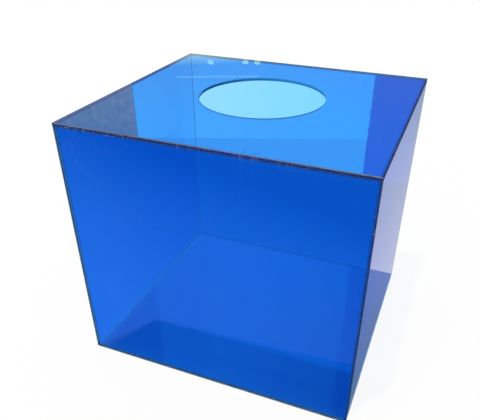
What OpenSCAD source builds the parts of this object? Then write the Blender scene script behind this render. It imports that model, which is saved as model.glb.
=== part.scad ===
// Donation box in tinted clear acrylic.
// Six flat sheets are solvent-bonded at square butt joints, with no frame, screws or hinges.
// The top laps over all four walls, the front and back lap over the ends of the sides,
// and the bottom sits inside the walls, level with their lower ends.
// A round hand hole in the top is the only way in.
// The origin is the middle of the footprint, on the table. X runs across the front,
// the front faces -Y and Z is up. All sizes are in millimetres.

/* [Case] */
// Outside width, from left to right
case_w = 300; // [200:5:450]
// Outside depth, from front to back
case_d = 275; // [200:5:450]
// Outside height, from the table to the top face
case_h = 275; // [150:5:450]

/* [Sheet] */
// Thickness of the acrylic sheet that all six panels are cut from
sheet_t = 3; // [2:0.5:8]
// Thickness of the clear cement line in each glued joint
bond_t = 0.1; // [0:0.05:0.3]
// Width of the polished bevel along the outside corners of the case
edge_bevel = 0.5; // [0.1:0.1:1]

/* [Hand hole] */
// Diameter of the round hole in the top
hole_d = 130; // [60:2:180]
// How far the hole's axis sits behind the middle of the top
hole_back = 7; // [-20:1:20]
// Width of the bevel round the hole's upper and lower rims
rim_bevel = 0.4; // [0.1:0.1:0.8]

/* [Hidden] */
// Clear blue tint of the sheet
tint = [0.05, 0.33, 0.88, 0.55];
// Facets of the hand hole
hole_facets = 180;
// Overcut that carries each cutter clear of the faces it opens
overcut = 1;
// Height of the walls, from the table to the underside of the top's cement line
wall_h = case_h - sheet_t - bond_t;
// Size of the space between the inner faces of the walls
inner_w = case_w - 2 * sheet_t;
inner_d = case_d - 2 * sheet_t;
// Length of a side panel, between the cement lines on the front and back
side_len = inner_d - 2 * bond_t;
// Size of the bottom panel, inside the cement lines on all four walls
bottom_w = inner_w - 2 * bond_t;
bottom_d = inner_d - 2 * bond_t;
// Distance of each wall panel's middle plane from the middle of the case
wall_x = (case_w - sheet_t) / 2;
wall_y = (case_d - sheet_t) / 2;

// Rectangle centred on the origin, with its four corners cut at 45 degrees
module bevelled_rectangle(size_x, size_y, cut) {
    x = size_x / 2;
    y = size_y / 2;
    polygon([
        [x - cut, -y],
        [x, -y + cut],
        [x, y - cut],
        [x - cut, y],
        [-x + cut, y],
        [-x, y - cut],
        [-x, -y + cut],
        [-x + cut, -y]
    ]);
}

// Outer form of the case: a block with a bevel along all twelve edges
module case_envelope() {
    translate([0, 0, case_h / 2])
        intersection() {
            linear_extrude(height = case_h, center = true)
                bevelled_rectangle(case_w, case_d, edge_bevel);
            rotate([90, 0, 0])
                linear_extrude(height = case_d, center = true)
                    bevelled_rectangle(case_w, case_h, edge_bevel);
            rotate([90, 0, 90])
                linear_extrude(height = case_w, center = true)
                    bevelled_rectangle(case_d, case_h, edge_bevel);
        }
}

// Flat sheet, centred on X and Y, with its lower face at z
module sheet(size_x, size_y, size_z, z) {
    translate([-size_x / 2, -size_y / 2, z])
        cube([size_x, size_y, size_z]);
}

// Round cutter for the hand hole, with the bevel of its upper and lower rims
module hole_cutter() {
    r = hole_d / 2;
    top_z = case_h;
    low_z = case_h - sheet_t;
    translate([0, hole_back, 0]) {
        translate([0, 0, low_z - overcut])
            cylinder(r = r, h = sheet_t + 2 * overcut, $fn = hole_facets);
        translate([0, 0, top_z - rim_bevel])
            cylinder(r1 = r, r2 = r + rim_bevel + overcut, h = rim_bevel + overcut, $fn = hole_facets);
        translate([0, 0, low_z - overcut])
            cylinder(r1 = r + rim_bevel + overcut, r2 = r, h = rim_bevel + overcut, $fn = hole_facets);
    }
}

// Top sheet with the hand hole, lapping over the upper ends of all four walls
module top_panel() {
    color(tint)
        difference() {
            intersection() {
                sheet(case_w, case_d, sheet_t, case_h - sheet_t);
                case_envelope();
            }
            hole_cutter();
        }
}

// Wall across the full width of the case, used at the front and at the back
module end_wall(side) {
    color(tint)
        intersection() {
            translate([0, side * wall_y, 0])
                sheet(case_w, sheet_t, wall_h, 0);
            case_envelope();
        }
}

// Wall between the front and the back, used at the left and at the right
module side_wall(side) {
    color(tint)
        intersection() {
            translate([side * wall_x, 0, 0])
                sheet(sheet_t, side_len, wall_h, 0);
            case_envelope();
        }
}

// Front wall
module front_panel() {
    end_wall(-1);
}

// Back wall
module back_panel() {
    end_wall(1);
}

// Left wall
module left_panel() {
    side_wall(-1);
}

// Right wall
module right_panel() {
    side_wall(1);
}

// Bottom sheet, set inside the walls with its underside on the table
module bottom_panel() {
    color(tint)
        sheet(bottom_w, bottom_d, sheet_t, 0);
}

top_panel();
front_panel();
back_panel();
left_panel();
right_panel();
bottom_panel();
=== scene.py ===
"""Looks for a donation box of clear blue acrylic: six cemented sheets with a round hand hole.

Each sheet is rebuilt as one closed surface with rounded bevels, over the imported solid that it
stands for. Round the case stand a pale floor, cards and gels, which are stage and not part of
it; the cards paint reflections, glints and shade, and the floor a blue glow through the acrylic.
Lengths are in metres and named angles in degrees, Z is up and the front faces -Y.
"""

import math

import bpy
import numpy as np
from mathutils import Matrix, Vector


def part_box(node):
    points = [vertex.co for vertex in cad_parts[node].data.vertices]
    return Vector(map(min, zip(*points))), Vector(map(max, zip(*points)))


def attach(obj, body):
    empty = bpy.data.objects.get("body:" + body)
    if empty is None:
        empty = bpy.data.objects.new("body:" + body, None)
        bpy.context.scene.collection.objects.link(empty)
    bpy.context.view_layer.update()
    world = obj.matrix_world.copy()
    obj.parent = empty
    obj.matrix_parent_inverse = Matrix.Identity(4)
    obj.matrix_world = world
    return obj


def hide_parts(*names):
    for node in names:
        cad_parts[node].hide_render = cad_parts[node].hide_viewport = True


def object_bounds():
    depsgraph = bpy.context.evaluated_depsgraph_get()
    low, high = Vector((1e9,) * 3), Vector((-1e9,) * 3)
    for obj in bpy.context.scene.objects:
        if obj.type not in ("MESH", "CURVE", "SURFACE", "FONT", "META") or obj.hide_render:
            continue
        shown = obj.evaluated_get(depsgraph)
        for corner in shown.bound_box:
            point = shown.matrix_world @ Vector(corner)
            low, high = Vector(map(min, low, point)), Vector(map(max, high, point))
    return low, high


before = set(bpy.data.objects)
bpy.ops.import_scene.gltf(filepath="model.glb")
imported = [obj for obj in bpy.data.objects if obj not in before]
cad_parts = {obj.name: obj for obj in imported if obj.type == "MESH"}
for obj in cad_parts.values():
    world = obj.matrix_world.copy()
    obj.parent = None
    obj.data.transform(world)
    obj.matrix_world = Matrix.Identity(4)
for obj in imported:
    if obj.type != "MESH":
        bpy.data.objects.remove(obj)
cad_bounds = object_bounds()

MM = 0.001

# The sheets
SIDES = 4
SHEET_T = 3 * MM
BEVEL = 0.5 * MM  # bevel along the outside corners of the case
JOINT_BREAK = 0.15 * MM  # light break of an edge that is glued
INNER_BREAKS = (JOINT_BREAK,) * SIDES  # widths round a sheet's inner face
RIM_BEVEL = 0.4 * MM  # bevel round the hand hole's rims
CORNER_R = 0.3 * MM  # rounding of a sheet's own corners
LEAST_ROUND = 0.1  # share of that rounding which an outline keeps when it is drawn in
FACE_ROUND = 0.9  # roundness of a flat face's middle rings, where 1 is a circle
HOLE_R = 65 * MM
HOLE_Y = 7 * MM
SIDE_STEPS = 44  # points along each side of a sheet's outline
CORNER_STEPS = 5  # points round each of its corners
ARC_STEPS = 5  # rings across each bevel
FACE_SHARES = (0.03, 0.15, 0.3, 0.5, 0.7, 0.85, 0.95, 0.99)  # from the middle to the bevel
RING_SHARES = (0.01, 0.05, 0.15, 0.3, 0.5, 0.7, 0.85, 0.95, 0.99)  # from the hole to the bevel
EDGE_SHARES = (0.1, 0.9)  # from the upper bevel to the lower one
NEAR = 1 * MM  # what is this close to the floor or the hole counts as at it
RIGHT_SIDE = 1  # an outline's right side, in its count of sides

# Edge marks, from 0 on a polished face to 1 on a full bevel
POLISHED = 0.12  # ends of the front and back sheets, and the hand hole's wall
SAWN = 0.5
BEVELLED = 0.6  # where the look of a bevel sets in
UNSEEN = 0.1  # share of its mark that an edge keeps, where it is glued out of sight or stood on

# Joint marks, 0 on the outside of the case
HIDDEN = 0.25  # a joint far from the eye
HAND_HOLE = 0.42  # no joint, but the hand hole's wall
SIDE_TOP = 0.5  # a side sheet under the top, or the front's other joints
FRONT_JOINT = 0.75  # the left sheet behind the front
FRONT_TOP = 1.0  # the front or the back under the top
JOINT_DEPTH = 0.2 * MM  # how far inside the case a joint begins

# Acrylic
ACRYLIC_IOR = 1.49
TINT_DENSITY = 505.0  # absorbed per metre, times one less the tint
TINT = (0.0, 0.73, 0.984)
MATT_ROUGH = 0.7
EDGE_ROUGH = 0.3  # what a sawn edge adds to the clear surface's roughness
EDGE_FROST = 0.85  # share of light that a sawn edge scatters
BEVEL_FROST = 0.09  # the same for a worn bevel
JOINT_FROST = 0.95  # and for the cement in a joint
EDGE_TONE = (0.01, 0.03, 0.15)
BEVEL_TONE = (0.7, 0.82, 0.95)
HOLE_TONE = (0.04, 0.42, 1.0)
SIDE_JOINT_TONE = (0.03, 0.26, 0.95)
FRONT_JOINT_TONE = (0.25, 0.6, 1.0)
TOP_JOINT_TONE = (0.2, 0.75, 1.0)

# Its finish; each noise is a scale and a detail
NOISE_SPAN = (0.3, 0.7)  # most of a noise's values lie between these
SAW_NOISE = (500.0, 3.0)
SAW_DEPTH = 0.2  # height of the saw marks, as a share of the waves'
SAW_SWING = 0.25  # how much the saw marks vary the frost
WAVE_NOISE = (7.0, 1.0)
WAVE_HEIGHT = 0.1 * MM  # slow waves left in the sheet by casting
WAVE_STRENGTH = 0.25
SMEAR_NOISE = (22.0, 4.0)
SMEAR_SPAN = (0.45, 0.75)
SMEAR_ROUGH = 0.03
SPECK_SCALE = 420.0
SPECK_RIM = (0.11, 0.19)  # a speck fades between these
DUSTY_NOISE = (14.0, 2.0)  # places with more dust
DUSTY_SPAN = (0.53, 0.7)
DUST_COVER = 0.16
DUST_TONE = (0.85, 0.88, 0.92)
SCRATCH_NOISE = (1.0, 1.0)
SCRATCH_STRETCH = (900.0, 14.0, 14.0)
SCRATCH_TURNS = ((0.5, 0.9, 0.4), (-0.7, 0.3, 1.2))  # in radians
SCRATCH_SPAN = (0.70, 0.74)
SCRATCH_COVER = 0.02
SCRATCH_ROUGH = 0.12
SCRATCH_DEPTH = 0.15  # as a share of the waves' height
FULL_GRIME = 0.1  # share of grime from which its tone hides the one under it

# Floor
FLOOR_HALF = 6.0  # half its width
FLOOR_Z = -0.1 * MM  # hair of air between the bottom sheet and the floor
FLOOR_TONE = 0.92
FLOOR_GLOW = 0.9  # share of its own light in what it shows straight on
# painted light: a blue glow that the floor gives off, seen only through the acrylic
FLOOR_PAINTED_GLOWS = ((0.0, 0.06, 0.30), (0.0, 0.0, 0.17))  # added to it through the acrylic
PAINTED_GLOW_SPAN = (0.0, 0.15)  # from left to right

# Lamps and gels
AMBIENT = 0.48  # level of the soft light from all round
KEY_LEVEL = 1.75
KEY_SOFTNESS = 2.0
KEY_FROM = (-0.141, -0.245, 1.0)  # direction that it shines from
FILL_LEVEL = 1.0
FILL_SOFTNESS = 30.0
FILL_FROM = (-0.35, -0.9, 0.25)
GEL_INSET = 0.3 * MM  # from a sheet's inner face to its gel
GEL_PATH = 3.1 * MM  # length of acrylic that a gel stands for
GEL_CLEAR = 0.92  # share of light that a clear sheet's two faces let through
SLANT_LOSS = 1.0  # share of lamp light that a gel loses at a full slant
SLANT_POWER = 3.0
PLAIN_FACING = 0.5  # blend at which a layer weight's facing is one less the cosine

# Cards seen through the acrylic. Those with two tones change from the first to the second
# along a direction, called their fade where it isn't X or Y, and over a span of it.
CARD_GAP = 1 * MM  # between the case and the cards round its foot
CARD_LIFT = 0.3 * MM  # height of a card that lies on the floor
CARD_TOP = 1.2  # height of the backdrop and the cards beside it
BACKDROP_AWAY = 1.141632  # from the camera to each of its ends
BACKDROP_LEFT = -34.3  # azimuths of its ends, seen from the camera
BACKDROP_RIGHT = -8.9
BACKDROPS = ((1.9, 1.24, 1.25), (0.85, 1.10, 1.37))
BACKDROP_SPAN = (-0.45, 0.05)
SURROUND_GAP = 2 * MM  # from the painted shade's end to the cards beside the backdrop
LEFT_END = -3.0  # outer end of the card at its left
LEFT_TONE = (0.8, 0.40, 0.38)
RIGHT_END = 2.0  # and of the one at its right
RIGHT_TONE = (0.12, 0.34, 0.88)
FLOOR_REACH = 5.0  # how far out the cards on the floor go
FLOOR_NEAR = (0.3, 0.6, 1.0)  # before the case and at its right
# painted blue shade of the case on the floor behind it and at its left, darker further back
FLOOR_SHADE_TONES = ((0.1, 0.43, 0.92), (0.03, 0.19, 0.6))  # behind it and at its left
FLOOR_SHADE_FADE = (0.3, 0.95, 0.0)
FLOOR_SHADE_SPAN = (-0.12, 0.27)
FLOOR_SHADE_END = 0.436  # where that painted shade ends behind the case
FLOOR_FAR = (1.0, 0.9, 1.1)  # and the tone beyond it

# Upright cards that only the top mirrors: painted reflections and glints
FLAG_Y = 1.4
FLAG_HEIGHTS = (0.05, 2.0)  # foot and top
FLAG_LEFT = -2.6
FLAG_RIGHT = 1.6
# painted reflections in the top: a dark card behind the case, a paler mottled one beside it
BACK_FLAG = (0.17, 0.17, 0.17)
SIDE_FLAG = (0.45, 0.45, 0.45)
SIDE_MOTTLE = 0.3
MOTTLE_NOISE = (30.0, 3.0)
# painted glints: glowing cards seen only in the top's mirror, where far lamps would shine
GLINT_Y = 1.38
PAINTED_GLINTS = ((-0.727, 0.636), (-0.584, 0.621), (-0.537, 0.618))  # x and height
SPOT_SIZE = (26 * MM, 18 * MM)  # width and height
SPOT_STEPS = 16  # points round a spot
SPOT_TONE = (0.95, 1.35, 0.6)
PAINTED_STREAK = ((-0.88, 0.708), (-0.528, 0.668))  # x and height of its ends
STREAK_SIZE = 7 * MM
STREAK_TONE = (0.42, 0.6, 0.35)
# painted reflection of the room's glow, seen only in the top
HAZE_TONE = (1.2, 1.4, 0.25)  # glow of the room over the back corner
HAZE_Y = 1.385
HAZE_BOX = (-1.0, -0.38, 0.5, 0.7)  # left, right, foot and top
HAZE_FADE = (1.0, 0.0, 7.2)
HAZE_SPAN = (3.5, 3.93)

# Cards on the floor that only the front and the right wall mirror: painted reflections
MIRROR_LIFT = 2 * MM
FRONT_BOX = (-0.9, 0.9, -1.3)  # left, right and near end
# painted reflection in the front: a dark floor, lighter near the case and at the left
FRONT_FLAGS = ((0.02, 0.03, 0.06), (0.2, 0.21, 0.26))
FRONT_FADE = (-0.29, 0.96, 0.0)
FRONT_SPAN = (-0.5, -0.25)
# painted shadow of the case on the floor, seen only mirrored in the front's foot
SHADE_TONE = (0.02, 0.03, 0.05)  # what the foot of the front mirrors
SHADE_LIFT = 3 * MM
SHADE_DEPTH = 61 * MM  # how far it reaches from the case at its left
SHADE_LEFT = 41.5 * MM  # its outer left corner, from the case's left side
SHADE_FOOT = 14 * MM  # its left corner at the case's foot, from the same side
SHADE_PAST = 0.2  # how far it runs on past the case
SHADE_SPREAD = 0.07  # how much deeper it gets for each metre to the right
RIGHT_REACH = 1.2  # right end of both cards at the right
RIGHT_BACK = 1.3  # back end of the far one
# painted reflections in the right wall: a pale floor beyond the case, and beside it the floor in the
# case's shadow
RIGHT_FLAGS = ((0.66, 0.71, 0.83), (0.44, 0.51, 0.50))
RIGHT_SPAN = (0.137, 0.9)
RIGHT_NEAR = ((0.15, 0.235, 0.26), (0.21, 0.285, 0.48))  # of the one beside the case
RIGHT_NEAR_SPAN = (-0.08, 0.13)

# Camera
CAM_AT = (192.3 * MM, -506.1 * MM, 449.0 * MM)
CAM_YAW = -21.836
CAM_PITCH = 33.607
CAM_ROLL = 0.168
CAM_LENS = 40.281
CAM_FILM = 36.0  # width of the film, in millimetres as the lens is
CAM_SHIFT = (-0.02083, 0.08333)
CAM_CLIP = 0.01  # nearest thing that it sees

# Bounces of light
BOUNCES = 32
GLOSSY_BOUNCES = 16


# ---------------------------------------------------------------- sheet surfaces


def outline_sides():
    """The side that each point of an outline lies on: 0 front, 1 right, 2 back and 3 left.

    It turns smoothly into the next side's number round a corner.
    """
    turn = np.linspace(0, 1, CORNER_STEPS + 2)[1:-1]
    one_side = np.append(np.zeros(SIDE_STEPS), turn)
    return np.concatenate([k + one_side for k in range(SIDES)])


def along_sides(values):
    """Each side's value for the points on it, changing evenly into the next round a corner."""
    around = [*values, values[0]]
    return np.interp(outline_sides(), np.arange(len(around)), around)


def outline(x0, x1, y0, y1, corner):
    """Rectangle with rounded corners, as a loop of points.

    Walks anticlockwise from the front left. Each side is a straight run of even steps, and
    each corner a quarter circle of radius corner.
    """
    run = np.linspace(0, 1, SIDE_STEPS)
    turn = np.linspace(0, 1, CORNER_STEPS + 2)[1:-1]
    corners = np.array([[x1, y0], [x1, y1], [x0, y1], [x0, y0]])
    inward = np.array([[-1, 1], [-1, -1], [1, -1], [1, 1]])
    centres = corners + inward * corner
    points = []
    for k in range(SIDES):
        angle = -math.pi / 2 + k * math.pi / 2
        normal = np.array([math.cos(angle), math.sin(angle)])
        begin = centres[k - 1] + normal * corner
        end = centres[k] + normal * corner
        points.append(begin + (end - begin) * run[:, None])
        bend = angle + turn * math.pi / 2
        points.append(centres[k] + np.stack([np.cos(bend), np.sin(bend)], 1) * corner)
    return np.concatenate(points)


def inset_loop(rect, widths, share):
    """The outline drawn in on each side by share of that side's bevel width."""
    x0, x1, y0, y1 = rect
    front, right, back, left = (w * share for w in widths)
    corner = max(CORNER_R - max(widths) * share, CORNER_R * LEAST_ROUND)
    return outline(x0 + left, x1 - right, y0 + front, y1 - back, corner)


def outer_rings(rect, widths, z, way):
    """Rings of the bevel round a sheet's outline, from its flat face out to its edge.

    A quarter circle turns from the flat into the edge: at angle a the inset is the side's
    bevel width times (1 - sin a) and the drop that width times (1 - cos a).
    way is -1 from the upper face down and 1 from the lower face up.
    """
    deepest = along_sides(widths)
    rings = []
    for a in np.linspace(0, math.pi / 2, ARC_STEPS):
        loop = inset_loop(rect, widths, 1 - math.sin(a))
        drop = deepest * (1 - math.cos(a))
        rings.append(np.column_stack([loop, z + way * drop]))
    return rings


def bevel_marks(widths):
    """Edge marks of a bevel's rings: SAWN where it is a light break, rising to 1 at full width."""
    share = (along_sides(widths) - JOINT_BREAK) / (BEVEL - JOINT_BREAK)
    return [SAWN + (1 - SAWN) * share] * ARC_STEPS


def edge_rings(upper, lower):
    """Rings on a straight edge, each a share of the way from the upper bevel to the lower."""
    return [upper + (lower - upper) * share for share in EDGE_SHARES]


def edge_marks(top_widths, low_widths, sawn, rough_side):
    """Edge marks from the upper bevel over the edge, which has the sawn mark, to the lower one.

    The side numbered rough_side, if any, is left sawn all over, with its bevels: there each
    mark is moved to SAWN, and less so with the way round the corners on to the next sides.
    """
    sides = outline_sides()
    edge = [np.full(len(sides), sawn)] * len(EDGE_SHARES)
    marks = np.array(bevel_marks(top_widths) + edge + bevel_marks(low_widths))
    if rough_side is not None:
        rough = np.clip(1 - np.abs(sides - rough_side), 0, 1)
        marks += (SAWN - marks) * rough
    return list(marks)


def circle(radius, at, count):
    """Even points round a circle, in step with the sides of an outline of count points."""
    step = 2 * math.pi / count
    first = -math.pi / 2 - step * (SIDE_STEPS - 1) / 2
    angle = first + step * np.arange(count)
    return np.array(at) + radius * np.column_stack([np.cos(angle), np.sin(angle)])


def rim_rings(radius, at, count, z, way):
    """Rings of the bevel round the hole, the same quarter circle as round the outline.

    At angle a the radius grows by RIM_BEVEL times (1 - sin a) and the drop is RIM_BEVEL
    times (1 - cos a).
    """
    rings = []
    for a in np.linspace(0, math.pi / 2, ARC_STEPS):
        loop = circle(radius + RIM_BEVEL * (1 - math.sin(a)), at, count)
        height = z + way * RIM_BEVEL * (1 - math.cos(a))
        rings.append(np.column_stack([loop, np.full(count, height)]))
    return rings


def flat_rings(rect, widths, z):
    """Rings of a flat face, from a small rounded loop round its middle out to its bevel.

    Each loop is the face's outline shrunk to a share of its size. The radius of its corners
    is FACE_ROUND of its own half width times one less that share, so they grow rounder
    towards the middle.
    """
    x0, x1, y0, y1 = rect
    front, right, back, left = widths
    x0, x1, y0, y1 = x0 + left, x1 - right, y0 + front, y1 - back
    mid_x, mid_y = (x0 + x1) / 2, (y0 + y1) / 2
    small = min(x1 - x0, y1 - y0) / 2
    rings = []
    for s in FACE_SHARES:
        loop = outline(
            mid_x + (x0 - mid_x) * s, mid_x + (x1 - mid_x) * s,
            mid_y + (y0 - mid_y) * s, mid_y + (y1 - mid_y) * s,
            small * s * (1 - s) * FACE_ROUND + CORNER_R * LEAST_ROUND,
        )
        rings.append(np.column_stack([loop, np.full(len(loop), z)]))
    return rings


def between_rings(inner, outer):
    """Flat rings between two loops at one height, each a share of the way between them."""
    return [inner + (outer - inner) * s for s in RING_SHARES]


def close_grid(rings, ring_marks, capped):
    """Joins rings of equal length into quads and gives each vertex its ring's edge mark.

    With capped, the first and last rings are fans round a middle point. Otherwise the last
    ring joins the first again, so the surface closes on itself like a tube.
    """
    n = len(rings[0])
    rows = len(rings)
    verts = np.concatenate(rings)
    marks = np.concatenate([np.broadcast_to(mark, n) for mark in ring_marks]).astype(float)
    i = np.arange(n)
    j = (i + 1) % n
    count = rows - 1 if capped else rows
    base = np.arange(count)[:, None] * n
    after = ((np.arange(count) + 1) % rows)[:, None] * n
    quads = np.stack([base + i, after + i, after + j, base + j], 2).reshape(-1, 4)
    faces = quads.tolist()
    if capped:
        first, last = len(verts), len(verts) + 1
        verts = np.vstack([verts, rings[0].mean(0), rings[-1].mean(0)])
        marks = np.append(marks, [0.0, 0.0])
        faces += np.column_stack([np.full(n, first), i, j]).tolist()
        tail = (rows - 1) * n
        faces += np.column_stack([np.full(n, last), tail + j, tail + i]).tolist()
    return verts, faces, marks


def flat_sheet(rect, z_low, z_top, top_widths, low_widths, sawn, rough_side=None):
    """Closed sheet without a hole: rings of upper face, bevel, edge, bevel and lower face."""
    face_up = flat_rings(rect, top_widths, z_top)
    bevel_up = outer_rings(rect, top_widths, z_top, -1)
    bevel_low = outer_rings(rect, low_widths, z_low, 1)[::-1]
    face_low = flat_rings(rect, low_widths, z_low)[::-1]
    edge = edge_rings(bevel_up[-1], bevel_low[0])
    rings = face_up + bevel_up + edge + bevel_low + face_low
    outer = edge_marks(top_widths, low_widths, sawn, rough_side)
    marks = [0] * len(face_up) + outer + [0] * len(face_low)
    return close_grid(rings, marks, True)


def holed_sheet(rect, z_low, z_top, top_widths, low_widths, hole_at, hole_r):
    """Closed sheet with a round hole, left sawn at its right side.

    Each ring of a face is a share of the way from the hole's circle to the outline, and the
    rim carries the surface back through the hole from the lower face to the upper one.
    """
    bevel_up = outer_rings(rect, top_widths, z_top, -1)
    bevel_low = outer_rings(rect, low_widths, z_low, 1)[::-1]
    count = len(bevel_up[0])
    rim_low = rim_rings(hole_r, hole_at, count, z_low, 1)
    rim_up = rim_rings(hole_r, hole_at, count, z_top, -1)[::-1]
    face_up = between_rings(rim_up[-1], bevel_up[0])
    face_low = between_rings(rim_low[0], bevel_low[-1])[::-1]
    edge = edge_rings(bevel_up[-1], bevel_low[0])
    wall = edge_rings(rim_low[-1], rim_up[0])
    rings = face_up + bevel_up + edge + bevel_low + face_low + rim_low + wall + rim_up
    outer = edge_marks(top_widths, low_widths, SAWN, RIGHT_SIDE)
    rim = [POLISHED] * (2 * ARC_STEPS + len(EDGE_SHARES))
    marks = [0] * len(face_up) + outer + [0] * len(face_low) + rim
    return close_grid(rings, marks, False)


def covered(verts):
    """Joint mark of each vertex: what kind of joint it lies in, and 0 on the outside.

    A vertex lies in a joint where it is deeper inside the case than JOINT_DEPTH. The case's
    foot counts as outside, and the hand hole's wall gets a mark of its own.
    """
    low, high = (np.array(corner) for corner in cad_bounds)
    past = np.minimum(verts - low, high - verts)
    past[:, 2] = np.where(verts[:, 2] < NEAR, 0.0, past[:, 2])
    at_hole = np.hypot(verts[:, 0], verts[:, 1] - HOLE_Y) < HOLE_R + NEAR
    at_side = (past[:, 0] < SHEET_T) & (past[:, 1] > SHEET_T)
    under_top = (past[:, 2] > SHEET_T) & (past[:, 2] < 2 * SHEET_T)
    front_gap = verts[:, 1] - low[1]
    behind_front = (front_gap > SHEET_T) & (front_gap < 2 * SHEET_T)
    at_left = (verts[:, 0] < 0) & (past[:, 0] < SHEET_T)
    kind = np.where(behind_front, np.where(at_left, FRONT_JOINT, SIDE_TOP), HIDDEN)
    kind = np.where(under_top, np.where(at_side, SIDE_TOP, FRONT_TOP), kind)
    kind = np.where(at_hole, HAND_HOLE, kind)
    return kind * ((past.min(1) > JOINT_DEPTH) | at_hole)


def add_piece(name, verts, faces, marks, node, material, shown=1.0):
    """Makes the mesh, marks its edges and joints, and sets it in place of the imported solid.

    Edge marks are cut to their UNSEEN share in hidden joints and along the foot, and to the
    share shown elsewhere.
    """
    mesh = bpy.data.meshes.new(name)
    mesh.from_pydata(verts.tolist(), [], faces)
    mesh.update()
    joint = (marks > 0) * covered(verts)
    away = (joint == HIDDEN) | (verts[:, 2] < NEAR)
    marks = marks * np.where(away, UNSEEN, shown)
    mark = mesh.attributes.new("edge", "FLOAT", "POINT")
    mark.data.foreach_set("value", marks.astype(np.float32))
    glued = mesh.attributes.new("joint", "FLOAT", "POINT")
    glued.data.foreach_set("value", joint.astype(np.float32))
    mesh.polygons.foreach_set("use_smooth", np.ones(len(mesh.polygons), bool))
    mesh.materials.append(material)
    piece = bpy.data.objects.new(name, mesh)
    bpy.context.scene.collection.objects.link(piece)
    piece.visible_shadow = False  # the gels inside the case filter the lamps instead
    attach(piece, "root")
    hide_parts(node)


def upright(verts, across, out):
    """Turns a sheet laid flat into a wall: its x runs along across, its y up, its z out."""
    axes = np.array([across, (0, 0, 1), out], float)
    return verts @ axes


def make_top(material):
    """Top sheet with the hand hole; all its upper corners are bevelled."""
    low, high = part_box("top_panel")
    verts, faces, marks = holed_sheet(
        (low.x, high.x, low.y, high.y), low.z, high.z,
        (BEVEL,) * SIDES, INNER_BREAKS, (0.0, HOLE_Y), HOLE_R,
    )
    add_piece("top_sheet", verts, faces, marks, "top_panel", material)


def make_bottom(material):
    """Bottom sheet, inside the walls and glued all round."""
    low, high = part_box("bottom_panel")
    verts, faces, marks = flat_sheet(
        (low.x, high.x, low.y, high.y), low.z, high.z,
        INNER_BREAKS, INNER_BREAKS, SAWN,
    )
    add_piece("bottom_sheet", verts, faces, marks, "bottom_panel", material, UNSEEN)


def make_wall(name, node, across, out, outer, sawn, material, rough_side=None):
    """One wall: a sheet laid flat in its own plane, then turned upright.

    outer gives the bevels of the outer face, in the order bottom, right, top, left, and
    sawn the mark of its edges. rough_side is a side that is left sawn, counted from 0 in
    the same order.
    """
    low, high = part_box(node)
    corners = np.array([low, high])
    a = np.array(across, float)
    o = np.array(out, float)
    span = np.sort(corners @ a)
    depth = np.sort(corners @ o)
    verts, faces, marks = flat_sheet(
        (span[0], span[1], low.z, high.z), depth[0], depth[1], outer, INNER_BREAKS,
        sawn, rough_side,
    )
    shown = UNSEEN if sawn == SAWN else 1.0
    add_piece(name, upright(verts, across, out), faces, marks, node, material, shown)


def make_walls(material):
    """The four walls.

    Front and back show their ends, so all but their upper edge is bevelled outside. The
    sides are glued at their top and ends, so only their lower edge is.
    """
    end = (BEVEL, BEVEL, JOINT_BREAK, BEVEL)
    side = (BEVEL, JOINT_BREAK, JOINT_BREAK, JOINT_BREAK)
    make_wall("front_sheet", "front_panel", (1, 0, 0), (0, -1, 0), end, POLISHED, material, RIGHT_SIDE)
    make_wall("back_sheet", "back_panel", (-1, 0, 0), (0, 1, 0), end, POLISHED, material)
    make_wall("left_sheet", "left_panel", (0, -1, 0), (-1, 0, 0), side, SAWN, material)
    make_wall("right_sheet", "right_panel", (0, 1, 0), (1, 0, 0), side, SAWN, material)


# ---------------------------------------------------------------- acrylic


def add_node(tree, kind, **values):
    """Adds a shader node and sets its plain settings."""
    made = tree.nodes.new(kind)
    for key, value in values.items():
        setattr(made, key, value)
    return made


def ramp(tree, source, low, high, start=0.0, end=1.0):
    """Clamped straight change of a value: low gives start and high gives end."""
    made = add_node(tree, "ShaderNodeMapRange")
    made.inputs["From Min"].default_value = low
    made.inputs["From Max"].default_value = high
    made.inputs["To Min"].default_value = start
    made.inputs["To Max"].default_value = end
    tree.links.new(source, made.inputs["Value"])
    return made.outputs["Result"]


def maths(tree, operation, *sources):
    """A maths node; each source is an output socket or a number."""
    made = add_node(tree, "ShaderNodeMath", operation=operation)
    for slot, source in zip(made.inputs, sources):
        if isinstance(source, (int, float)):
            slot.default_value = source
        else:
            tree.links.new(source, slot)
    return made.outputs[0]


def blend(tree, share, first, second):
    """Mixes two colours by a share; each is an output socket or a plain colour."""
    made = add_node(tree, "ShaderNodeMix", data_type="RGBA")
    tree.links.new(share, made.inputs[0])
    slots = [i for i in made.inputs if i.type == "RGBA"]
    for slot, source in zip(slots, (first, second)):
        if isinstance(source, tuple):
            slot.default_value = (*source, 1.0)
        else:
            tree.links.new(source, slot)
    return [o for o in made.outputs if o.type == "RGBA"][0]


def noise(tree, where, scale, detail, stretch=None, turn=None):
    """Noise in the case's own coordinates; stretch and turn draw it out into slanting lines."""
    if stretch:
        place = add_node(tree, "ShaderNodeMapping")
        place.inputs["Scale"].default_value = stretch
        place.inputs["Rotation"].default_value = turn
        tree.links.new(where, place.inputs["Vector"])
        where = place.outputs["Vector"]
    made = add_node(tree, "ShaderNodeTexNoise")
    made.inputs["Scale"].default_value = scale
    made.inputs["Detail"].default_value = detail
    tree.links.new(where, made.inputs["Vector"])
    return made.outputs["Fac"]


def start_material(name):
    """A new material with an empty tree; gives the material, the tree and its output."""
    mat = bpy.data.materials.new(name)
    mat.use_nodes = True
    tree = mat.node_tree
    tree.nodes.clear()
    return mat, tree, add_node(tree, "ShaderNodeOutputMaterial")


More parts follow.
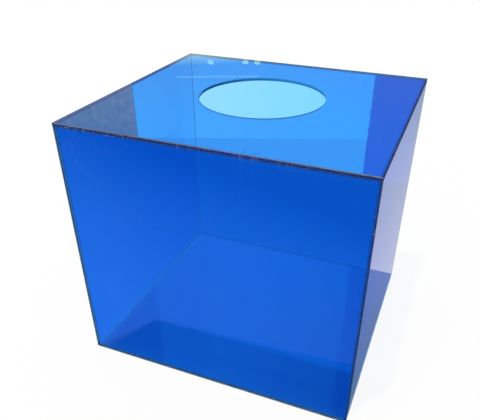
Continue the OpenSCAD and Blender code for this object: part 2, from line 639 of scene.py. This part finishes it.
def dust(tree, where):
    """Scattered specks of dust: small discs round random points, more in some places."""
    cells = add_node(tree, "ShaderNodeTexVoronoi")
    cells.inputs["Scale"].default_value = SPECK_SCALE
    tree.links.new(where, cells.inputs["Vector"])
    speck = ramp(tree, cells.outputs["Distance"], *SPECK_RIM, 1.0, 0.0)
    dusty = ramp(tree, noise(tree, where, *DUSTY_NOISE), *DUSTY_SPAN)
    return maths(tree, "MULTIPLY", speck, dusty)


def scratches(tree, where):
    """Hairline scratches from wiping: the peaks of two slanting sets of drawn-out noise."""
    sets = []
    for turn in SCRATCH_TURNS:
        lines = noise(tree, where, *SCRATCH_NOISE, SCRATCH_STRETCH, turn)
        sets.append(ramp(tree, lines, *SCRATCH_SPAN))
    return maths(tree, "MAXIMUM", *sets)


def frosted(tree, grime, edge, bevel, joint, saw):
    """Share of light scattered at the surface.

    The greater of the edge's and the cement's, changed by the bevel from the edge's frost to
    its own, then times a swing with the saw marks, plus the grime.
    """
    glued = maths(tree, "MULTIPLY", ramp(tree, joint, HIDDEN, SIDE_TOP), JOINT_FROST)
    frost = maths(tree, "MAXIMUM", maths(tree, "MULTIPLY", edge, EDGE_FROST), glued)
    frost = maths(tree, "MULTIPLY_ADD", bevel, BEVEL_FROST - EDGE_FROST, frost)
    swing = ramp(tree, saw, *NOISE_SPAN, 1 - SAW_SWING, 1 + SAW_SWING)
    return maths(tree, "ADD", maths(tree, "MULTIPLY", frost, swing), grime)


def scattered_tone(tree, grime, bevel, joint):
    """Colour of what scatters light: sawn edge or bevel, then hole or joint, then grime.

    The tones of the hole and the joints take turns as the joint mark rises, and grime covers
    them in step with its share up to FULL_GRIME.
    """
    tone = blend(tree, bevel, EDGE_TONE, BEVEL_TONE)
    for low, high, marked_tone in (
        (0.0, HIDDEN, HOLE_TONE),
        (HAND_HOLE, SIDE_TOP, SIDE_JOINT_TONE),
        (SIDE_TOP, FRONT_JOINT, FRONT_JOINT_TONE),
        (FRONT_JOINT, FRONT_TOP, TOP_JOINT_TONE),
    ):
        tone = blend(tree, ramp(tree, joint, low, high), tone, marked_tone)
    return blend(tree, ramp(tree, grime, 0.0, FULL_GRIME), tone, DUST_TONE)


def roughness(tree, where, edge, scored):
    """Roughness of the clear surface: smears, plus a share each of edge and scratches."""
    smears = ramp(tree, noise(tree, where, *SMEAR_NOISE), *SMEAR_SPAN, 0.0, SMEAR_ROUGH)
    rough = maths(tree, "MULTIPLY_ADD", edge, EDGE_ROUGH, smears)
    return maths(tree, "MULTIPLY_ADD", scored, SCRATCH_ROUGH, rough)


def relief(tree, where, edge, scored, saw):
    """Bent normal of the surface: slow waves, less the scratches, plus saw marks on edges."""
    height = maths(tree, "MULTIPLY_ADD", scored, -SCRATCH_DEPTH, noise(tree, where, *WAVE_NOISE))
    height = maths(tree, "MULTIPLY_ADD", maths(tree, "MULTIPLY", saw, edge), SAW_DEPTH, height)
    bump = add_node(tree, "ShaderNodeBump")
    bump.inputs["Strength"].default_value = WAVE_STRENGTH
    bump.inputs["Distance"].default_value = WAVE_HEIGHT
    tree.links.new(height, bump.inputs["Height"])
    return bump.outputs["Normal"]


def blue_tint(tree):
    """Blue of the sheet, which deepens with the length of the light's path through it."""
    tint = add_node(tree, "ShaderNodeVolumeAbsorption")
    tint.inputs["Color"].default_value = (*TINT, 1.0)
    tint.inputs["Density"].default_value = TINT_DENSITY
    return tint.outputs["Volume"]


def acrylic():
    """Clear blue cast acrylic, polished on its faces and finely sawn on its edges.

    A clear shader is mixed with a matt one by the frosted share, and the tint fills the
    sheet between its faces.
    """
    mat, tree, out = start_material("blue_acrylic")
    link = tree.links.new
    clear = add_node(tree, "ShaderNodeBsdfPrincipled")
    clear.inputs["Base Color"].default_value = (1.0, 1.0, 1.0, 1.0)
    clear.inputs["Transmission Weight"].default_value = 1.0
    clear.inputs["IOR"].default_value = ACRYLIC_IOR
    matt = add_node(tree, "ShaderNodeBsdfPrincipled")
    matt.inputs["Roughness"].default_value = MATT_ROUGH
    matt.inputs["IOR"].default_value = ACRYLIC_IOR
    matt.inputs["Specular IOR Level"].default_value = 0.0
    where = add_node(tree, "ShaderNodeTexCoord").outputs["Object"]
    mark = add_node(tree, "ShaderNodeAttribute", attribute_name="edge").outputs["Fac"]
    joint = add_node(tree, "ShaderNodeAttribute", attribute_name="joint").outputs["Fac"]
    edge = ramp(tree, mark, 0.0, SAWN)
    bevel = ramp(tree, mark, BEVELLED, 1.0)
    scored = scratches(tree, where)
    saw = noise(tree, where, *SAW_NOISE)
    scored_cover = maths(tree, "MULTIPLY", scored, SCRATCH_COVER)
    grime = maths(tree, "MULTIPLY_ADD", dust(tree, where), DUST_COVER, scored_cover)
    link(scattered_tone(tree, grime, bevel, joint), matt.inputs["Base Color"])
    link(roughness(tree, where, edge, scored), clear.inputs["Roughness"])
    link(relief(tree, where, edge, scored, saw), clear.inputs["Normal"])
    mix = add_node(tree, "ShaderNodeMixShader")
    link(frosted(tree, grime, edge, bevel, joint, saw), mix.inputs[0])
    link(clear.outputs["BSDF"], mix.inputs[1])
    link(matt.outputs["BSDF"], mix.inputs[2])
    link(mix.outputs["Shader"], out.inputs["Surface"])
    link(blue_tint(tree), out.inputs["Volume"])
    return mat


# ---------------------------------------------------------------- stage


def camera_axes():
    """Right, up and forward of the camera.

    Forward is +Y turned right by the yaw and tipped down by the pitch. Right and up are then
    turned about it by the roll.
    """
    yaw, pitch, roll = (math.radians(v) for v in (CAM_YAW, CAM_PITCH, CAM_ROLL))
    forward = Vector(
        (math.sin(yaw) * math.cos(pitch), math.cos(yaw) * math.cos(pitch), -math.sin(pitch))
    )
    right = Vector((math.cos(yaw), -math.sin(yaw), 0.0))
    up = right.cross(forward)
    turned_right = right * math.cos(roll) + up * math.sin(roll)
    turned_up = up * math.cos(roll) - right * math.sin(roll)
    return turned_right, turned_up, forward


def make_camera():
    """Camera at eye height above a table, a little right of the front."""
    right, up, forward = camera_axes()
    data = bpy.data.cameras.new("camera")
    data.sensor_width = CAM_FILM
    data.lens = CAM_LENS
    data.shift_x, data.shift_y = CAM_SHIFT
    data.clip_start = CAM_CLIP
    cam = bpy.data.objects.new("camera", data)
    spin = Matrix((right, up, -forward)).transposed().to_4x4()
    cam.matrix_world = Matrix.Translation(CAM_AT) @ spin
    bpy.context.scene.collection.objects.link(cam)
    bpy.context.scene.camera = cam


def stage_plane(name, corners, material):
    """A flat card or floor through its corners."""
    mesh = bpy.data.meshes.new(name)
    mesh.from_pydata([tuple(c) for c in corners], [], [tuple(range(len(corners)))])
    mesh.materials.append(material)
    card = bpy.data.objects.new(name, mesh)
    bpy.context.scene.collection.objects.link(card)
    return card


def seen_directly(tree, with_glass):
    """A value that is 1 for camera rays, and with_glass for mirrored and refracted ones too."""
    path = add_node(tree, "ShaderNodeLightPath")
    total = path.outputs["Is Camera Ray"]
    if with_glass:
        for name in ("Is Glossy Ray", "Is Transmission Ray"):
            total = maths(tree, "MAXIMUM", total, path.outputs[name])
    return total


def floor_painted_glow(tree):
    """Painted blue glow on the floor for rays through the acrylic, fading from left to right."""
    where = add_node(tree, "ShaderNodeTexCoord")
    split = add_node(tree, "ShaderNodeSeparateXYZ")
    tree.links.new(where.outputs["Object"], split.inputs[0])
    across = ramp(tree, split.outputs["X"], *PAINTED_GLOW_SPAN)
    painted_glow = add_node(tree, "ShaderNodeEmission")
    tree.links.new(blend(tree, across, *FLOOR_PAINTED_GLOWS), painted_glow.inputs["Color"])
    path = add_node(tree, "ShaderNodeLightPath")
    tree.links.new(path.outputs["Is Transmission Ray"], painted_glow.inputs["Strength"])
    return painted_glow.outputs["Emission"]


def floor_material():
    """Pale matt floor; straight on, most of what it shows is its own light.

    Camera rays get FLOOR_GLOW of that light and the rest from the matt floor, so shadows on
    it stay soft. The painted blue glow is added to both.
    """
    mat, tree, out = start_material("pale_floor")
    link = tree.links.new
    matt = add_node(tree, "ShaderNodeBsdfDiffuse")
    matt.inputs["Color"].default_value = (FLOOR_TONE, FLOOR_TONE, FLOOR_TONE, 1.0)
    glow = add_node(tree, "ShaderNodeEmission")
    mix = add_node(tree, "ShaderNodeMixShader")
    link(maths(tree, "MULTIPLY", seen_directly(tree, False), FLOOR_GLOW), mix.inputs[0])
    link(matt.outputs["BSDF"], mix.inputs[1])
    link(glow.outputs["Emission"], mix.inputs[2])
    both = add_node(tree, "ShaderNodeAddShader")
    link(mix.outputs["Shader"], both.inputs[0])
    link(floor_painted_glow(tree), both.inputs[1])
    link(both.outputs["Shader"], out.inputs["Surface"])
    return mat


def card_material(name, tones, along, span, mottle):
    """Card that gives off a tone fading from the first to the second along a direction.

    The fade runs over span, in the dot product of place and direction. mottle is how much
    the card's light comes and goes in blotches.
    """
    mat, tree, out = start_material(name)
    glow = add_node(tree, "ShaderNodeEmission")
    where = add_node(tree, "ShaderNodeTexCoord").outputs["Object"]
    reach = add_node(tree, "ShaderNodeVectorMath", operation="DOT_PRODUCT")
    reach.inputs[1].default_value = along
    tree.links.new(where, reach.inputs[0])
    share = ramp(tree, reach.outputs["Value"], *span)
    tree.links.new(blend(tree, share, *tones), glow.inputs["Color"])
    if mottle:
        blotch = noise(tree, where, *MOTTLE_NOISE)
        level = ramp(tree, blotch, *NOISE_SPAN, 1 - mottle, 1 + mottle)
        tree.links.new(level, glow.inputs["Strength"])
    tree.links.new(glow.outputs["Emission"], out.inputs["Surface"])
    return mat


def add_card(name, corners, tones, seen, along=(0, 1, 0), span=(0.0, 1.0), mottle=0.0):
    """A stage card that is seen only "mirrored" or only "through" the acrylic.

    tones is one tone, or a pair that the card fades between.
    """
    if isinstance(tones[0], float):
        tones = (tones, tones)
    made = stage_plane(name, corners, card_material(name, tones, along, span, mottle))
    made.visible_camera = False
    made.visible_diffuse = False
    made.visible_shadow = False
    made.visible_glossy = seen == "mirrored"
    made.visible_transmission = seen == "through"


def upright_card(name, left, right, heights, tones, seen, along=(1, 0, 0), span=(0, 1), mottle=0.0):
    """An upright card between two points of the floor, from one height to another."""
    low, high = heights
    corners = [(*left, low), (*right, low), (*right, high), (*left, high)]
    add_card(name, corners, tones, seen, along, span, mottle)


def floor_card(name, box, height, tones, seen, along=(0, 1, 0), span=(0, 1)):
    """A card lying flat, just over the floor; box is its x and y limits."""
    x0, x1, y0, y1 = box
    corners = [(x0, y0, height), (x1, y0, height), (x1, y1, height), (x0, y1, height)]
    add_card(name, corners, tones, seen, along, span)


def along_view(azimuth, distance):
    """Floor point at a distance from the camera, along a sight line azimuth right of +Y.

    It is the camera's place plus the distance times the sine in x and the cosine in y.
    """
    a = math.radians(azimuth)
    return CAM_AT[0] + distance * math.sin(a), CAM_AT[1] + distance * math.cos(a)


def view_meets(azimuth, y):
    """Floor point where the sight line at an azimuth gets to y.

    The distance is the way there in y over the cosine of the azimuth.
    """
    return along_view(azimuth, (y - CAM_AT[1]) / math.cos(math.radians(azimuth)))


def make_backdrop():
    """Bright backdrop, square to its middle sight line, with a dimmer card at each side."""
    left = along_view(BACKDROP_LEFT, BACKDROP_AWAY)
    right = along_view(BACKDROP_RIGHT, BACKDROP_AWAY)
    heights = (0.0, CARD_TOP)
    upright_card("backdrop", left, right, heights, BACKDROPS, "through", span=BACKDROP_SPAN)
    y = FLOOR_SHADE_END + SURROUND_GAP
    left, right = view_meets(BACKDROP_LEFT, y), view_meets(BACKDROP_RIGHT, y)
    upright_card("left_surround", (LEFT_END, y), left, heights, LEFT_TONE, "through")
    upright_card("right_surround", right, (RIGHT_END, y), heights, RIGHT_TONE, "through")


def make_floor_cards():
    """The floor round the case through the acrylic, with painted blue shade behind it and at its left.
    """
    low, high = cad_bounds
    far = FLOOR_REACH
    x0, y0 = low[0] - CARD_GAP, low[1] - CARD_GAP
    x1, y1 = high[0] + CARD_GAP, high[1] + CARD_GAP
    for name, box, tone in (
        ("floor_before", (-far, far, -far, y0), FLOOR_NEAR),
        ("floor_right", (x1, far, y0, y1), FLOOR_NEAR),
        ("floor_far", (-far, far, FLOOR_SHADE_END, far), FLOOR_FAR),
    ):
        floor_card(name, box, CARD_LIFT, tone, "through")
    for name, box in (
        ("painted_shade_behind", (-far, far, y1, FLOOR_SHADE_END)),
        ("painted_shade_left", (-far, x0, y0, y1)),
    ):
        floor_card(name, box, CARD_LIFT, FLOOR_SHADE_TONES, "through", FLOOR_SHADE_FADE, FLOOR_SHADE_SPAN)


def make_back_flags():
    """Painted reflections in the top: a dark flag behind the case, and a paler mottled one beside it.
    """
    split = view_meets(BACKDROP_LEFT, FLAG_Y)
    left, right = (FLAG_LEFT, FLAG_Y), (FLAG_RIGHT, FLAG_Y)
    upright_card("back_flag", split, right, FLAG_HEIGHTS, BACK_FLAG, "mirrored")
    upright_card("side_flag", left, split, FLAG_HEIGHTS, SIDE_FLAG, "mirrored", mottle=SIDE_MOTTLE)


def make_painted_glints():
    """Painted glints that the top mirrors near its back corner, each a glowing flattened disc."""
    wide, tall = SPOT_SIZE
    turns = [2 * math.pi * i / SPOT_STEPS for i in range(SPOT_STEPS)]
    for k, (x, z) in enumerate(PAINTED_GLINTS):
        disc = [(x + wide / 2 * math.cos(a), GLINT_Y, z + tall / 2 * math.sin(a)) for a in turns]
        add_card(f"painted_glint_{k + 1}", disc, SPOT_TONE, "mirrored")


def make_haze():
    """Painted soft glow that the top mirrors near its back corner, behind the painted glints."""
    x0, x1, z0, z1 = HAZE_BOX
    left, right, tones = (x0, HAZE_Y), (x1, HAZE_Y), (HAZE_TONE, BACK_FLAG)
    upright_card("haze", left, right, (z0, z1), tones, "mirrored", HAZE_FADE, HAZE_SPAN)


def make_painted_streak():
    """Painted thin slanting streak that the top mirrors near the painted glints."""
    (x0, z0), (x1, z1) = PAINTED_STREAK
    edge = STREAK_SIZE / 2
    streak = ((x0, z0 - edge), (x1, z1 - edge), (x1, z1 + edge), (x0, z0 + edge))
    add_card("painted_streak", [(x, GLINT_Y, z) for x, z in streak], STREAK_TONE, "mirrored")


def make_front_flags():
    """Painted reflections in the front: a dark flag on the floor, and a darker painted shadow at its
    foot.

    The painted shadow gets deeper towards the right, by SHADE_SPREAD of the way along it.
    """
    low, high = cad_bounds
    y = low[1] - CARD_GAP
    box = (*FRONT_BOX, y)
    floor_card("front_flag", box, MIRROR_LIFT, FRONT_FLAGS, "mirrored", FRONT_FADE, FRONT_SPAN)
    far_y = y - SHADE_DEPTH
    x0, x1 = low[0] + SHADE_LEFT, high[0] + SHADE_PAST
    end_y = far_y - SHADE_SPREAD * (x1 - x0)
    shade = ((x1, y), (x1, end_y), (x0, far_y), (low[0] + SHADE_FOOT, y))
    add_card("front_shade", [(*at, SHADE_LIFT) for at in shade], SHADE_TONE, "mirrored")


def make_right_flags():
    """Painted reflections in the right wall: a pale flag on the floor, and a painted shadow beside the
    case.
    """
    low, high = cad_bounds
    x, y = high[0] + CARD_GAP, low[1] - CARD_GAP
    for name, box, tones, span in (
        ("right_flag", (x, RIGHT_REACH, high[1], RIGHT_BACK), RIGHT_FLAGS, RIGHT_SPAN),
        ("right_near", (x, RIGHT_REACH, y, high[1]), RIGHT_NEAR, RIGHT_NEAR_SPAN),
    ):
        floor_card(name, box, MIRROR_LIFT, tones, "mirrored", span=span)


def gel_material():
    """What a whole sheet lets through to the lamps: its tint, and less light at a slant.

    At no slant the light falls off exponentially with the path times the tint's density times
    one less the tint. The share lost grows with the cube of the slant. The side walls lose
    none, so the floor beside them stays as light as under the top.
    """
    mat, tree, out = start_material("gel")
    facing = add_node(tree, "ShaderNodeLayerWeight")
    facing.inputs["Blend"].default_value = PLAIN_FACING
    steep = maths(tree, "POWER", facing.outputs["Facing"], SLANT_POWER)
    where = add_node(tree, "ShaderNodeTexCoord")
    split = add_node(tree, "ShaderNodeSeparateXYZ")
    tree.links.new(where.outputs["Normal"], split.inputs[0])
    side = maths(tree, "MULTIPLY", split.outputs["X"], split.outputs["X"])
    lost = maths(tree, "MULTIPLY", steep, maths(tree, "SUBTRACT", 1.0, side))
    full = tuple(GEL_CLEAR * math.exp(-TINT_DENSITY * (1 - c) * GEL_PATH) for c in TINT)
    least = tuple(c * (1 - SLANT_LOSS) for c in full)
    clear = add_node(tree, "ShaderNodeBsdfTransparent")
    tree.links.new(blend(tree, lost, full, least), clear.inputs["Color"])
    tree.links.new(clear.outputs["BSDF"], out.inputs["Surface"])
    return mat


def make_gels():
    """Tinted gels just inside the sheets, met by lamp rays alone.

    The sheets cast no shadow of their own. The gels stand in for them, and cover the hand
    hole as well, so that the floor has a soft blue shadow with no bright disc in it.
    """
    inset = SHEET_T + GEL_INSET
    low = cad_bounds[0] + Vector((inset, inset, inset))
    high = cad_bounds[1] - Vector((inset, inset, inset))
    corners = [(x, y, z) for z in (low.z, high.z) for y in (low.y, high.y) for x in (low.x, high.x)]
    faces = [(0, 2, 3, 1), (4, 5, 7, 6), (0, 1, 5, 4), (2, 6, 7, 3), (0, 4, 6, 2), (1, 3, 7, 5)]
    mesh = bpy.data.meshes.new("gels")
    mesh.from_pydata(corners, [], faces)
    mesh.materials.append(gel_material())
    gels = bpy.data.objects.new("gels", mesh)
    bpy.context.scene.collection.objects.link(gels)
    gels.visible_camera = False
    gels.visible_glossy = False
    gels.visible_diffuse = False
    gels.visible_transmission = False


def make_lamp(name, level, softness, source):
    """A far lamp of a level, a softness in degrees, and a direction that it shines from."""
    lamp = bpy.data.lights.new(name, "SUN")
    lamp.energy = level
    lamp.angle = math.radians(softness)
    made = bpy.data.objects.new(name, lamp)
    made.rotation_euler = Vector(source).to_track_quat("Z", "Y").to_euler()
    bpy.context.scene.collection.objects.link(made)
    return made


def make_world():
    """Plain soft light from all round, at AMBIENT on surfaces and white wherever it is seen."""
    world = bpy.data.worlds.new("studio")
    bpy.context.scene.world = world
    world.use_nodes = True
    tree = world.node_tree
    level = maths(tree, "MULTIPLY_ADD", seen_directly(tree, True), 1.0 - AMBIENT, AMBIENT)
    tree.links.new(level, tree.nodes["Background"].inputs["Strength"])
    tree.nodes["Background"].inputs["Color"].default_value = (1, 1, 1, 1)


def make_lamps():
    """A key lamp from above, and a soft fill from the front that nothing mirrors."""
    make_lamp("key", KEY_LEVEL, KEY_SOFTNESS, KEY_FROM)
    fill = make_lamp("fill", FILL_LEVEL, FILL_SOFTNESS, FILL_FROM)
    fill.visible_glossy = False
    fill.visible_transmission = False


def make_stage():
    """Floor, cards, gels and lamps."""
    half, z = FLOOR_HALF, FLOOR_Z
    corners = [(-half, -half, z), (half, -half, z), (half, half, z), (-half, half, z)]
    stage_plane("floor", corners, floor_material())
    make_backdrop()
    make_floor_cards()
    make_back_flags()
    make_painted_glints()
    make_haze()
    make_painted_streak()
    make_front_flags()
    make_right_flags()
    make_gels()
    make_world()
    make_lamps()


def set_render():
    """Plain view transform, and enough bounces for light to pass through many sheets."""
    scene = bpy.context.scene
    scene.view_settings.view_transform = "Standard"
    scene.cycles.max_bounces = BOUNCES
    scene.cycles.transmission_bounces = BOUNCES
    scene.cycles.glossy_bounces = GLOSSY_BOUNCES
    scene.cycles.transparent_max_bounces = BOUNCES
    scene.cycles.caustics_reflective = False
    scene.cycles.caustics_refractive = False


blue = acrylic()
make_top(blue)
make_bottom(blue)
make_walls(blue)
make_stage()
make_camera()
set_render()
